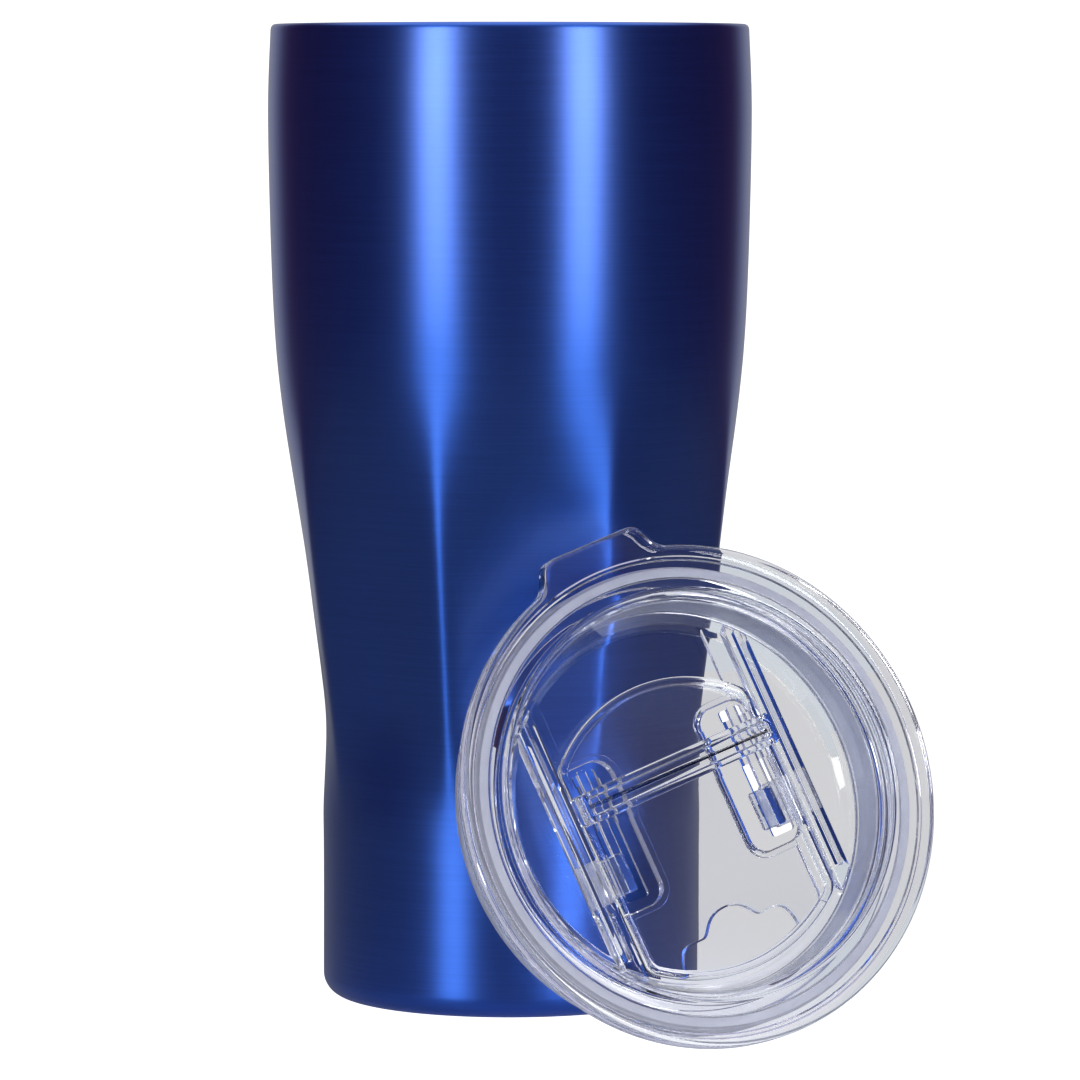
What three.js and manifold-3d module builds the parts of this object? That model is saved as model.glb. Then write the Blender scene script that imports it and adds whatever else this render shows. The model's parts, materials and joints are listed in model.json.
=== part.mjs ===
// Vacuum insulated steel tumbler, 20 ounce size, with its clear push-in lid standing on its edge
// beside it.  Millimetres, +Z up.  The origin is the centre of the tumbler's flat base.
import * as THREE from 'three';
import { mergeVertices } from 'three/addons/utils/BufferGeometryUtils.js';
import Module from 'manifold-3d';

const wasm = await Module();
wasm.setup();

// ---------------------------------------------------------------- driving dimensions
const HEIGHT = 177;           // rim above the ground
const HEM = 1;                // the hem's rolled edge stands this far above the cup's welded rim
const HEM_IN = 41.75;         // the hem's inner edge
const SHEET = 0.6;            // outer body wall
const LINER = 0.5;            // inner cup wall
const GAP = 0.35;             // clearance between neighbouring pieces
const BASE_R = 34.2;          // body radius just above the base corner
const CORNER_R = 4;           // outside radius of the base corner
const MOUTH_R = 41.3;         // bore of the mouth, which the lid's gasket seals in
const PANELS = 8;             // flat grip panels round the waist
const FIRST_RIDGE = 26.5;     // angle of one ridge to the right of straight ahead, degrees
const PANEL_TOP = [72, 118];     // heights between which a panel fades out at its top
const PANEL_BOTTOM = [32, 56];   // and at its bottom
const PANEL_DEPTH = 0.85;     // how flat a panel is: 1 is straight from ridge to ridge
const RIDGE_SOFTNESS = 0.1;   // rounding of a ridge, as a share of half a panel

const LID_R = 44.3;           // lid flange
const FLANGE = 4;             // flange thickness
const PLUG_R = 38.5;          // plug wall outside, where the gasket sits
const PLUG_DEPTH = 15.6;      // plug wall's lower end below the flange's top
const GASKET_R = 41;          // silicone sleeve outside
const FLOOR_TOP = -11.3;      // floor of the lid's well, from the flange's top
const FLOOR_BOTTOM = -13.1;
const WELL_TOP_R = 36.2;      // the well at the flange
const WELL_FOOT_R = 31.9;     // the well just above its floor
const RAIL_IN = 20.3;         // guide rails' inner faces, either side of the slider
const RAIL_OUT = 23.8;
const RAIL_TOP = -7.8;
const LEDGE_IN = 17.2;        // ledges that the slider runs on
const LEDGE_TOP = -10.3;

const SLIDER_HALF = 19.9;     // half the slider's width
const PLATE_TOP = -8.2;
const PLATE_BOTTOM = -9.95;

// where the lid stands: centre of its top face, then how it is turned, leant and spun
const LID_CENTRE = new THREE.Vector3(33.6, -56.8, 43.45);
const LID_TURN = 21.7;        // about the vertical, to face right of straight ahead
const LID_LEAN = 16.2;        // leaning back from upright
const LID_SPIN = 19.6;        // tab turned left of the top, about the lid's own axis

const ROUND = 48;             // sides of a round piece
const rad = THREE.MathUtils.degToRad;

// ---------------------------------------------------------------- materials
const finish = (color, roughness, metalness, opacity = 1) =>
  new THREE.MeshStandardMaterial({ color, roughness, metalness, opacity, transparent: opacity < 1 });
const blueLacquer = finish(0x17358f, 0.35, 0.9);
const bareSteel = finish(0xb9bbbd, 0.35, 1);
const copperFoil = finish(0xb87345, 0.3, 1);
const getterMetal = finish(0x6f7072, 0.6, 0.8);
const solder = finish(0x8d9194, 0.4, 0.9);
const clearPlastic = finish(0xe8eef4, 0.05, 0, 0.3);
const silicone = finish(0xdfe3e6, 0.5, 0, 0.7);

// ---------------------------------------------------------------- solids
// Only positions, shared corners merged, faces pointing out.
function closed(geometry) {
  const bare = geometry.clone();
  bare.deleteAttribute('normal');
  bare.deleteAttribute('uv');
  const merged = mergeVertices(bare, 1e-4);
  const p = merged.attributes.position;
  const index = [...merged.index.array];
  const [a, b, c] = [new THREE.Vector3(), new THREE.Vector3(), new THREE.Vector3()];
  const faces = [];
  let volume = 0;
  for (let i = 0; i < index.length; i += 3) {
    const [u, v, w] = index.slice(i, i + 3);
    if (u === v || v === w || w === u) continue;
    faces.push(u, v, w);
    a.fromBufferAttribute(p, u);
    b.fromBufferAttribute(p, v);
    c.fromBufferAttribute(p, w);
    volume += a.dot(b.cross(c));
  }
  if (volume < 0) faces.reverse();
  merged.setIndex(faces);
  return merged;
}

// A profile of [radius, height] points, closed on itself or on the axis, turned about Z.
function revolve(profile, sides = ROUND) {
  const points = profile.map(([r, z]) => new THREE.Vector2(r, z));
  const onAxis = profile[0][0] === 0 && profile.at(-1)[0] === 0;
  if (!onAxis) points.push(points[0].clone());
  return closed(new THREE.LatheGeometry(points, sides).rotateX(Math.PI / 2));
}

// A shape in the XY plane, extruded between two heights.
function slab(shape, low, high, curveSegments = 8) {
  const body = new THREE.ExtrudeGeometry(shape, { depth: high - low, bevelEnabled: false, curveSegments });
  return closed(body.translate(0, 0, low));
}

function block([x0, x1], [y0, y1], [z0, z1]) {
  const box = new THREE.BoxGeometry(x1 - x0, y1 - y0, z1 - z0);
  return closed(box.translate((x0 + x1) / 2, (y0 + y1) / 2, (z0 + z1) / 2));
}

function solid(geometry) {
  const vertProperties = new Float32Array(geometry.attributes.position.array);
  const triVerts = new Uint32Array(geometry.index.array);
  return new wasm.Manifold(new wasm.Mesh({ numProp: 3, vertProperties, triVerts }));
}

function geometryOf(manifold) {
  const { vertProperties, triVerts } = manifold.getMesh();
  const geometry = new THREE.BufferGeometry();
  geometry.setAttribute('position', new THREE.BufferAttribute(vertProperties, 3));
  geometry.setIndex(new THREE.BufferAttribute(triVerts, 1));
  return geometry;
}

// Points on an arc of the profile plane, from one angle to another in degrees.
function arc([r, z], radius, from, to, steps = 4) {
  return Array.from({ length: steps + 1 }, (_, i) => {
    const angle = rad(from + (to - from) * i / steps);
    return [r + radius * Math.cos(angle), z + radius * Math.sin(angle)];
  });
}

function roundedRect(x0, x1, y0, y1, radius) {
  const shape = new THREE.Shape();
  shape.moveTo(x0 + radius, y0);
  shape.lineTo(x1 - radius, y0);
  shape.absarc(x1 - radius, y0 + radius, radius, -Math.PI / 2, 0);
  shape.absarc(x1 - radius, y1 - radius, radius, 0, Math.PI / 2);
  shape.absarc(x0 + radius, y1 - radius, radius, Math.PI / 2, Math.PI);
  shape.absarc(x0 + radius, y0 + radius, radius, Math.PI, Math.PI * 1.5);
  return shape;
}

function part(name, geometry, material) {
  geometry.computeVertexNormals();
  const mesh = new THREE.Mesh(geometry, material);
  mesh.name = name;
  return mesh;
}

// ---------------------------------------------------------------- tumbler
// The body along a ridge, from the base corner to the rim: [radius, height].
const RIDGE_LINE = [
  [BASE_R, CORNER_R], [BASE_R, 32], [34.9, 45], [36.4, 58], [38.3, 72], [40, 86],
  [41.15, 99], [42.1, 112], [43, 125], [43.6, 142], [43.9, 162], [43.4, HEIGHT - HEM],
];
const ridgeCurve = new THREE.SplineCurve(RIDGE_LINE.map(([r, z]) => new THREE.Vector2(r, z)));

// How far the panels are pressed in at a height: 0 is round, 1 is flat from ridge to ridge.
const { smoothstep } = THREE.MathUtils;
const pressed = (z) =>
  PANEL_DEPTH * smoothstep(z, ...PANEL_BOTTOM) * (1 - smoothstep(z, ...PANEL_TOP));

// Share of a ridge's radius that the body has at an angle and height.
function panelFactor(angle, z) {
  const half = Math.PI / PANELS;
  const turned = THREE.MathUtils.euclideanModulo(angle - rad(FIRST_RIDGE), 2 * half);
  const fromRidge = 1 - Math.abs(turned - half) / half;
  const soft = Math.hypot(fromRidge, RIDGE_SOFTNESS) - RIDGE_SOFTNESS;
  const flat = Math.cos(half) / Math.cos(half * (1 - soft));
  return 1 - pressed(z) * (1 - flat);
}

// Pushes a turned body in to its flat panels.  Angles count from straight ahead, -Y, to the right.
function pressPanels(geometry) {
  const p = geometry.attributes.position;
  for (let i = 0; i < p.count; i += 1) {
    const [x, y, z] = [p.getX(i), p.getY(i), p.getZ(i)];
    const factor = panelFactor(Math.atan2(x, -y), z);
    p.setXY(i, x * factor, y * factor);
  }
  return geometry;
}

// Outer body: base corner, ridge line, then a hem rolled in over the top.
function outerShell() {
  const wall = ridgeCurve.getSpacedPoints(13).map(({ x, y }) => [x, y]);
  const inside = ridgeCurve.getSpacedPoints(8).slice(0, -1).reverse().map(({ x, y }) => [x - SHEET, y]);
  const cornerCentre = [BASE_R - CORNER_R, CORNER_R];
  const foot = BASE_R - CORNER_R - 0.3;
  const hemUnderside = HEIGHT - HEM + 0.2;
  const profile = [
    [foot, 0],
    ...arc(cornerCentre, CORNER_R, -90, -12),
    ...wall,
    ...arc([43.4 - HEM, HEIGHT - HEM], HEM, 25, 90, 3),
    [HEM_IN, HEIGHT],
    [HEM_IN, hemUnderside],
    [43.4 - HEM, hemUnderside],
    ...inside,
    ...arc(cornerCentre, CORNER_R - SHEET, -12, -90, 2),
    [foot, SHEET],
  ];
  const body = revolve(profile).rotateZ(rad(FIRST_RIDGE));
  return part('outer_shell', pressPanels(body), blueLacquer);
}

// The cup inside, a plain round drawing that clears the pressed panels: [inner radius, height].
const LINER_FLOOR = 9.5;
const LINER_CORNER = 7.5;     // radius between its floor and wall
const LINER_LINE = [
  [30.2, 17], [30.3, 47], [31.2, 60], [32.9, 78], [34.4, 90], [37.4, 106],
  [39.5, 122], [40.3, 145], [40.5, 160],
];
const linerCurve = new THREE.SplineCurve(LINER_LINE.map(([r, z]) => new THREE.Vector2(r, z)));

function innerLiner() {
  const cornerCentre = [LINER_LINE[0][0] - LINER_CORNER, LINER_FLOOR + LINER_CORNER];
  const wall = linerCurve.getSpacedPoints(8).map(({ x, y }) => [x, y]);
  const mouth = [[MOUTH_R - 0.15, 162], [MOUTH_R, HEIGHT - HEM - 0.15]];
  const inside = [...arc(cornerCentre, LINER_CORNER, -90, -10, 3), ...wall, ...mouth];
  const outside = [
    ...arc(cornerCentre, LINER_CORNER + LINER, -90, -10, 3),
    ...[...wall, ...mouth].map(([r, z]) => [r + LINER, z]),
  ];
  const profile = [[0, LINER_FLOOR], ...inside, ...outside.reverse(), [0, LINER_FLOOR - LINER]];
  return part('inner_liner', revolve(profile, 40), bareSteel);
}

// A loose reflecting sleeve round the liner, in the vacuum.
function radiationFoil() {
  const stand = LINER + GAP;
  const thickness = 0.3;
  const wall = linerCurve.getSpacedPoints(7).map(({ x, y }) => [x, y]).slice(0, -1);
  const profile = [
    ...wall.map(([r, z]) => [r + stand + thickness, z]),
    ...wall.reverse().map(([r, z]) => [r + stand, z]),
  ];
  return part('radiation_foil', revolve(profile, 40), copperFoil);
}

// Bottom of the vacuum space: a disc with a turned-down edge and a dimple with the pump-out hole.
function bottomPlate() {
  const edge = BASE_R - SHEET - 0.55;
  const [underside, top, thickness] = [5.6, 6.4, 0.8];
  const profile = [
    [0.8, underside - 0.5], [3.2, underside - 0.5], [4, underside],
    [edge - thickness, underside], [edge - thickness, underside - 1], [edge, underside - 1],
    [edge, top], [3.6, top], [2.8, top - 0.5], [0.8, top - 0.5],
  ];
  return part('bottom_plate', revolve(profile), bareSteel);
}

// The bead that closes the pump-out hole from below.
function sealBead() {
  const profile = [[0, 3.6], [1.4, 3.7], [2.2, 4.2], [2.2, 4.75], [0, 4.75]];
  return part('seal_bead', revolve(profile, 20), solder);
}

// The pill that keeps the vacuum clean, lying on the bottom plate.
function getter() {
  const profile = [[0, 6.75], [3.6, 6.75], [4, 7.1], [4, 7.9], [3.6, 8.3], [0, 8.3]];
  const pill = part('getter', revolve(profile, 24), getterMetal);
  pill.position.set(17, 6, 0);
  return pill;
}

// The flat cover that hides the seal, and that the tumbler stands on.
function baseCover() {
  const edge = 29.5;
  const [thickness, height] = [0.8, 3];
  const profile = [
    [0, 0], [edge - 0.6, 0], [edge, 0.6], [edge, height],
    [edge - thickness, height], [edge - thickness, 0.9], [0, 0.9],
  ];
  return part('base_cover', revolve(profile, 56), bareSteel);
}

// ---------------------------------------------------------------- lid
// In the lid's own frame: X across the slider, Y along it towards the tab, Z out of the top face.
// The tab's plan: straight outer edge, rounded shoulders, flanks that run into the flange.
function tabShape() {
  const shape = new THREE.Shape();
  shape.moveTo(-14, 38);
  shape.lineTo(14, 38);
  shape.lineTo(13.4, 42);
  shape.bezierCurveTo(11.6, 42.9, 11.1, 44.1, 10.4, 45.7);
  shape.bezierCurveTo(9.8, 47.1, 8.9, 47.8, 7, 47.8);
  shape.lineTo(-7, 47.8);
  shape.bezierCurveTo(-8.9, 47.8, -9.8, 47.1, -10.4, 45.7);
  shape.bezierCurveTo(-11.1, 44.1, -11.6, 42.9, -13.4, 42);
  return shape;
}

// The drinking hole's plan: a round lobe on a wider base that follows the well's foot.
function drinkShape() {
  const foot = 30.2;
  const side = Math.atan2(-27.8, 11.8);
  const shape = new THREE.Shape();
  shape.absarc(0, 0, foot, Math.PI - side, side + 2 * Math.PI, false);
  shape.lineTo(11.6, -26.4);
  shape.bezierCurveTo(11, -24.2, 10.4, -23.4, 9, -23.4);
  shape.lineTo(6.4, -23.4);
  shape.bezierCurveTo(4.4, -23.4, 4.6, -19.8, 0, -19.8);
  shape.bezierCurveTo(-4.6, -19.8, -4.4, -23.4, -6.4, -23.4);
  shape.lineTo(-9, -23.4);
  shape.bezierCurveTo(-10.4, -23.4, -11, -24.2, -11.6, -26.4);
  return shape;
}

const WINDOW = { x: [9.4, 20], y: [-14, 13], radius: 3 };
const HANDS = [-1, 1];        // left and right of the lid's middle
const mirrored = ([a, b], side) => (side > 0 ? [a, b] : [-b, -a]);

// What stands on the well's floor on one side: a rail, a ledge that the slider runs on, and a bead
// round the window.
function floorDetails(side) {
  const buried = FLOOR_TOP - 0.5;
  const [x0, x1] = mirrored(WINDOW.x, side);
  const [y0, y1] = WINDOW.y;
  const beadWidth = 1.2;
  const beadPlan = roundedRect(
    x0 - beadWidth, x1 + beadWidth, y0 - beadWidth, y1 + beadWidth, WINDOW.radius + beadWidth,
  );
  const rail = solid(block(mirrored([RAIL_IN, RAIL_OUT], side), [-27, 27], [buried, RAIL_TOP]));
  const ledge = solid(block(mirrored([LEDGE_IN, RAIL_IN + 0.5], side), [-28, 28], [buried, LEDGE_TOP]));
  const bead = solid(slab(beadPlan, buried + 0.1, FLOOR_TOP + 0.6, 4));
  return rail.add(ledge).add(bead);
}

function lidShell() {
  const ring = solid(revolve([
    [0, FLOOR_BOTTOM], [31.2, FLOOR_BOTTOM], [33.3, -11.7], [36.2, -5.4], [36.8, -5.4],
    [36.8, -PLUG_DEPTH], [PLUG_R, -PLUG_DEPTH], [PLUG_R, -FLANGE],
    ...arc([LID_R - 0.8, -FLANGE + 0.8], 0.8, -90, 0, 3),
    ...arc([LID_R - 1, -1], 1, 0, 90, 3),
    ...arc([WELL_TOP_R + 0.9, -0.9], 0.9, 90, 180, 3),
    [WELL_FOOT_R, -10.1], [30.7, FLOOR_TOP], [0, FLOOR_TOP],
  ]));
  // everything in the well is trimmed to its conical wall
  const well = solid(revolve([[0, -12.4], [31.6, -12.4], [33, -10.6], [36.2, -4], [0, -4]]));
  const tabThickness = FLANGE - 0.4;
  let body = ring.add(solid(slab(tabShape(), -tabThickness, 0)));
  for (const side of HANDS) {
    const [x0, x1] = mirrored(WINDOW.x, side);
    const [g0, g1] = mirrored([21.7, 22.9], side);
    const groovePlan = roundedRect(g0, g1, -21.5, 24, 0.59);
    const groove = solid(slab(groovePlan, RAIL_TOP - 2, RAIL_TOP + 1, 3));
    const windowPlan = roundedRect(x0, x1, ...WINDOW.y, WINDOW.radius);
    const hole = solid(slab(windowPlan, FLOOR_BOTTOM - 1, LEDGE_TOP + 0.2, 4));
    body = body.add(floorDetails(side).intersect(well)).subtract(groove).subtract(hole);
  }
  body = body.subtract(solid(slab(drinkShape(), FLOOR_BOTTOM - 1, FLOOR_TOP + 1)));
  return part('lid_shell', geometryOf(body), clearPlastic);
}

// The silicone sleeve that seals the plug in the tumbler's mouth.
function lidGasket() {
  const inner = PLUG_R + GAP;
  const top = -FLANGE - GAP;
  const profile = [
    [inner, top], [GASKET_R - 0.4, top], [GASKET_R, top - 0.5], [GASKET_R, -14],
    [40.4, -16], [39.4, -16.1], [inner, -PLUG_DEPTH],
  ];
  return part('lid_gasket', revolve(profile), silicone);
}

// The slider's plan: a round upper end, straight sides and a lower end that follows the well.
const CLOSED_END_R = 31.5;
const NOSE_R = 28;
const NOSE_CENTRE = -6.1;
function sliderShape(inset) {
  const half = SLIDER_HALF - inset;
  const end = CLOSED_END_R - inset;
  const nose = NOSE_R - inset;
  const corner = 3;
  const shape = new THREE.Shape();
  const endAngle = Math.acos((half - corner) / (end - corner));
  const noseAngle = Math.acos((half - corner) / (nose - corner));
  const endY = -(end - corner) * Math.sin(endAngle);
  const noseY = NOSE_CENTRE + (nose - corner) * Math.sin(noseAngle);
  shape.absarc(0, 0, end, Math.PI + endAngle, 2 * Math.PI - endAngle);
  shape.absarc(half - corner, endY, corner, -endAngle, 0);
  shape.absarc(half - corner, noseY, corner, 0, noseAngle);
  shape.absarc(0, NOSE_CENTRE, nose, noseAngle, Math.PI - noseAngle);
  shape.absarc(corner - half, noseY, corner, Math.PI - noseAngle, Math.PI);
  shape.absarc(corner - half, endY, corner, Math.PI, Math.PI + endAngle);
  return shape;
}

const BAR = { halfLength: 20, y: [2.8, 8.5], top: -4.2, wall: 1.3, depth: 2.6 };
const ARM = [14.8, 16.6];      // spring arm, inside its slot in the plate
const SLOT = { x: [13.2, 17.6], y: [-12.2, 11.8] };
const HOOK = [-10.6, -3.4];    // along the slide
const PEG = { x: 20.4, y: [-8.2, -5.8], z: [-15, -14.2] };

function slider() {
  const recessDepth = 0.7;
  const border = 1.3;
  const plan = sliderShape(0);
  const inner = solid(slab(sliderShape(border), PLATE_TOP - recessDepth, PLATE_TOP + 1, 6));
  const bar = block([-BAR.halfLength, BAR.halfLength], BAR.y, [PLATE_TOP - 0.5, BAR.top]);
  const [b0, b1] = BAR.y;
  const channelHalf = BAR.halfLength - BAR.wall - 0.1;
  const land = solid(block([-21, 21], [b0 - border, b1 + border], [-20, 0]));
  let body = solid(slab(plan, PLATE_BOTTOM, PLATE_TOP, 6)).subtract(inner.subtract(land));
  body = body.add(solid(bar));
  const channelY = [b0 + BAR.wall, b1 - BAR.wall];
  const channel = block([-channelHalf, channelHalf], channelY, [BAR.top - BAR.depth, 0]);
  body = body.subtract(solid(channel));
  for (const side of HANDS) {
    const slot = solid(block(mirrored(SLOT.x, side), SLOT.y, [PLATE_BOTTOM - 1, PLATE_TOP - 0.1]));
    const armY = [HOOK[0], SLOT.y[1] + 0.2];
    const arm = solid(block(mirrored(ARM, side), armY, [PLATE_BOTTOM, PLATE_TOP - 0.6]));
    const leg = solid(block(mirrored(ARM, side), HOOK, [-16, PLATE_BOTTOM + 0.5]));
    const peg = solid(block(mirrored([ARM[1] - 0.5, PEG.x], side), PEG.y, PEG.z));
    body = body.subtract(slot).add(arm).add(leg).add(peg);
  }
  return part('slider', geometryOf(body), clearPlastic);
}

// Soft feet pushed on the hooks' pegs: they reach under the lid's floor and hold the slider down.
function sliderFoot(side, name) {
  const outer = block(mirrored([ARM[1] + GAP, 22.4], side), [-11, -2.9], [-15.7, -13.5]);
  const hole = block(
    mirrored([ARM[1], PEG.x + GAP], side),
    [PEG.y[0] - GAP, PEG.y[1] + GAP],
    [PEG.z[0] - GAP, PEG.z[1] + GAP],
  );
  return part(name, geometryOf(solid(outer).subtract(solid(hole))), silicone);
}

// ---------------------------------------------------------------- assembly
const tumbler = new THREE.Group();
tumbler.add(outerShell(), innerLiner(), radiationFoil(), bottomPlate(), sealBead(), getter(), baseCover());

const lid = new THREE.Group();
lid.add(lidShell(), lidGasket(), slider());
lid.add(sliderFoot(-1, 'slider_foot_left'), sliderFoot(1, 'slider_foot_right'));
lid.rotation.z = rad(LID_SPIN);
const lean = new THREE.Group();
lean.add(lid);
lean.rotation.x = rad(90 - LID_LEAN);
const stand = new THREE.Group();
stand.add(lean);
stand.position.copy(LID_CENTRE);
stand.rotation.z = rad(LID_TURN);

const group = new THREE.Group();
group.add(tumbler, stand);

export default group;
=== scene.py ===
"""Looks of a vacuum tumbler and its clear lid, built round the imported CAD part.  Metres, +Z up.

Drawings are in millimetres.  The tumbler's are in the CAD part's frame.  The lid's are in a frame of its
own: X across the slider, Y along it towards the tab, Z out of the lid's top face."""
import json
import math

import bpy
from mathutils import Matrix, Vector


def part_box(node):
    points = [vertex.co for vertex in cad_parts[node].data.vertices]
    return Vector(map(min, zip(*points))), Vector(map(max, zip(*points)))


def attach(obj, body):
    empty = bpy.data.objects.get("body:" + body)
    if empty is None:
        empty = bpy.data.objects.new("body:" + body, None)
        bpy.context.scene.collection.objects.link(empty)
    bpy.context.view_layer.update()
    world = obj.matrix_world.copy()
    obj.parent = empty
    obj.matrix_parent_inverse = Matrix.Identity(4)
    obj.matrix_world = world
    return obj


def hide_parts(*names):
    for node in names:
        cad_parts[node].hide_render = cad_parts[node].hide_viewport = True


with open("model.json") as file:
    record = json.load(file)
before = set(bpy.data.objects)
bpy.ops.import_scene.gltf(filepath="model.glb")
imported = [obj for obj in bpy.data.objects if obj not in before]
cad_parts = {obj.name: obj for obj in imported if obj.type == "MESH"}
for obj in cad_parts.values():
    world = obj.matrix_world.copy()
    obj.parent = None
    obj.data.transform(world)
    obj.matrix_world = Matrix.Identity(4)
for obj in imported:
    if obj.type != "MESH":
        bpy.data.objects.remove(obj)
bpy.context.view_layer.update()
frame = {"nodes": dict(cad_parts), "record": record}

MM = 0.001
ROUND = 256          # sides of a round piece
FINE_EDGE = 5        # steps round a rounded edge


# ---------------------------------------------------------------- drawings
def arc(centre, radius, start, end, steps=8):
    """Points on an arc of the drawing plane, from one angle to another in degrees."""
    angles = [math.radians(start + (end - start) * i / steps) for i in range(steps + 1)]
    return [(centre[0] + radius * math.cos(a), centre[1] + radius * math.sin(a)) for a in angles]


def steps_of(degrees, count):
    """Angles in radians, in equal steps from 0 up to that many degrees."""
    return [math.radians(degrees * i / count) for i in range(count + 1)]


def bezier(a, b, c, d, steps=10):
    """Points on a cubic curve after its first point a, up to and including d."""
    out = []
    for i in range(1, steps + 1):
        t = i / steps
        weights = ((1 - t) ** 3, 3 * t * (1 - t) ** 2, 3 * t * t * (1 - t), t ** 3)
        out.append(tuple(sum(w * p[k] for w, p in zip(weights, (a, b, c, d))) for k in (0, 1)))
    return out


def spline(points, steps):
    """The smooth curve through the points, with that many steps from each to the next."""
    padded = [points[0], *points, points[-1]]
    out = []
    for i in range(len(points) - 1):
        p0, p1, p2, p3 = padded[i:i + 4]
        for j in range(steps):
            t = j / steps
            out.append(tuple(
                p1[k] + 0.5 * t * (p2[k] - p0[k]
                + t * (2 * p0[k] - 5 * p1[k] + 4 * p2[k] - p3[k]
                + t * (3 * (p1[k] - p2[k]) + p3[k] - p0[k])))
                for k in (0, 1)
            ))
    return [*out, points[-1]]


def eased(points, radius, steps=FINE_EDGE, ends=False):
    """The outline with its corners rounded.  radius is one number or one for each point.  ends keeps the
    first and last point, which lie on the axis, as they are."""
    count = len(points)
    radii = radius if isinstance(radius, (list, tuple)) else [radius] * count
    out = []
    for i, here in enumerate(points):
        if radii[i] <= 0 or (ends and i in (0, count - 1)):
            out.append(tuple(here))
            continue
        p = Vector(here)
        back, ahead = Vector(points[i - 1]) - p, Vector(points[(i + 1) % count]) - p
        half = back.angle(ahead) / 2
        reach = min(radii[i] / math.tan(half), 0.49 * back.length, 0.49 * ahead.length)
        a, b = p + back.normalized() * reach, p + ahead.normalized() * reach
        for j in range(steps + 1):
            t = j / steps
            out.append(tuple(a * (1 - t) ** 2 + p * (2 * t * (1 - t)) + b * t * t))
    return out


def rounded_rect(x, y, radius, steps=8):
    """Outline of a rectangle with round corners, from its x and y ranges."""
    corners = [(x[1], y[0]), (x[1], y[1]), (x[0], y[1]), (x[0], y[0])]
    out = []
    for i, (cx, cy) in enumerate(corners):
        centre = (cx - math.copysign(radius, cx - sum(x) / 2), cy - math.copysign(radius, cy - sum(y) / 2))
        out += arc(centre, radius, 90 * i - 90, 90 * i, steps)
    return out


def inset(outline, depth):
    """The outline, which runs anticlockwise, moved in by depth."""
    count = len(outline)
    out = []
    for i in range(count):
        a, p, b = (Vector(outline[k % count]) for k in (i - 1, i, i + 1))
        one, two = (p - a), (b - p)
        one = one.normalized() if one.length > 1e-9 else two.normalized()
        two = two.normalized() if two.length > 1e-9 else one
        side = Vector((-one.y - two.y, one.x + two.x)).normalized()
        stretch = max(0.5, side.dot(Vector((-one.y, one.x))))
        out.append(tuple(p + side * depth / stretch))
    return out


# ---------------------------------------------------------------- meshes
def skin(name, rings, closed=False):
    """A solid skinned over rings of equally many points, closed on itself or capped at both ends."""
    count = len(rings[0])
    points = [Vector(p) * MM for ring in rings for p in ring]
    faces = []
    for i in range(len(rings) if closed else len(rings) - 1):
        a, b = i * count, (i + 1) % len(rings) * count
        faces += [(a + j, a + (j + 1) % count, b + (j + 1) % count, b + j) for j in range(count)]
    if not closed:
        last = (len(rings) - 1) * count
        faces += [tuple(range(count))[::-1], tuple(range(last, last + count))]
    mesh = bpy.data.meshes.new(name)
    mesh.from_pydata(points, [], faces)
    mesh.validate()
    made = bpy.data.objects.new(name, mesh)
    bpy.context.scene.collection.objects.link(made)
    if volume(mesh) < 0:
        mesh.flip_normals()
    return made


def volume(mesh):
    """Volume inside a closed mesh, negative where its faces look in."""
    total = 0
    mesh.calc_loop_triangles()
    for t in mesh.loop_triangles:
        a, b, c = (mesh.vertices[v].co for v in t.vertices)
        total += a.dot(b.cross(c)) / 6
    return total


def lathe(name, profile, sides=ROUND):
    """A profile of (radius, height) turned about Z.  It starts and ends on the axis, or closes on itself."""
    on_axis = profile[0][0] == 0 and profile[-1][0] == 0
    rows = profile[1:-1] if on_axis else profile
    turns = [2 * math.pi * i / sides for i in range(sides)]
    rings = [[(r * math.cos(a), r * math.sin(a), z) for a in turns] for r, z in rows]
    return skin(name, rings, closed=not on_axis)


def single(outline):
    """The outline without points that repeat the one before."""
    return [p for i, p in enumerate(outline) if math.dist(p, outline[i - 1]) > 0.001]


def slab(name, outline, low, high, edge=0.25, steps=3):
    """An outline, anticlockwise, given thickness from low to high, with its edges rounded."""
    outline = single(outline)
    quarter = [math.pi / 2 * i / steps for i in range(steps + 1)]
    levels = [(edge * (1 - math.sin(q)), low + edge * (1 - math.cos(q))) for q in quarter]
    levels += [(d, low + high - z) for d, z in reversed(levels)]
    return skin(name, [[(x, y, z) for x, y in inset(outline, d)] for d, z in levels])


def cutter(outline, low, high, flare=0.25):
    """A tool for a hole through a wall from low to high, which breaks the hole's sharp edges."""
    outline = single(outline)
    levels = [(-flare, low - 1), (-flare, low), (0, low + flare)]
    levels += [(0, high - flare), (-flare, high), (-flare, high + 1)]
    return skin("tool", [[(x, y, z) for x, y in inset(outline, d)] for d, z in levels])


def trough(outline, floor_height, mouth, edge, steps=4):
    """A tool for a recess, which leaves a rounded foot below and a rounded lip at its mouth."""
    outline = single(outline)
    quarter = [math.pi / 2 * i / steps for i in range(steps + 1)]
    levels = [(edge * (1 - math.sin(q)), floor_height + edge * (1 - math.cos(q))) for q in quarter]
    levels += [(-edge * (1 - math.cos(q)), mouth - edge * (1 - math.sin(q))) for q in quarter]
    levels = [pair for i, pair in enumerate(levels) if i <= steps or pair[1] > levels[steps][1]]
    levels.append((-edge, mouth + 1))
    return skin("tool", [[(x, y, z) for x, y in inset(outline, d)] for d, z in levels])


def block(x, y, z, edge=0.25):
    """A box with rounded edges."""
    return slab("block", rounded_rect(x, y, 1.6 * edge, 4), *z, edge)


def settle(piece):
    """Puts what the modifiers make of a mesh into the mesh itself."""
    graph = bpy.context.evaluated_depsgraph_get()
    piece.data = bpy.data.meshes.new_from_object(piece.evaluated_get(graph))
    piece.modifiers.clear()


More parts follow.
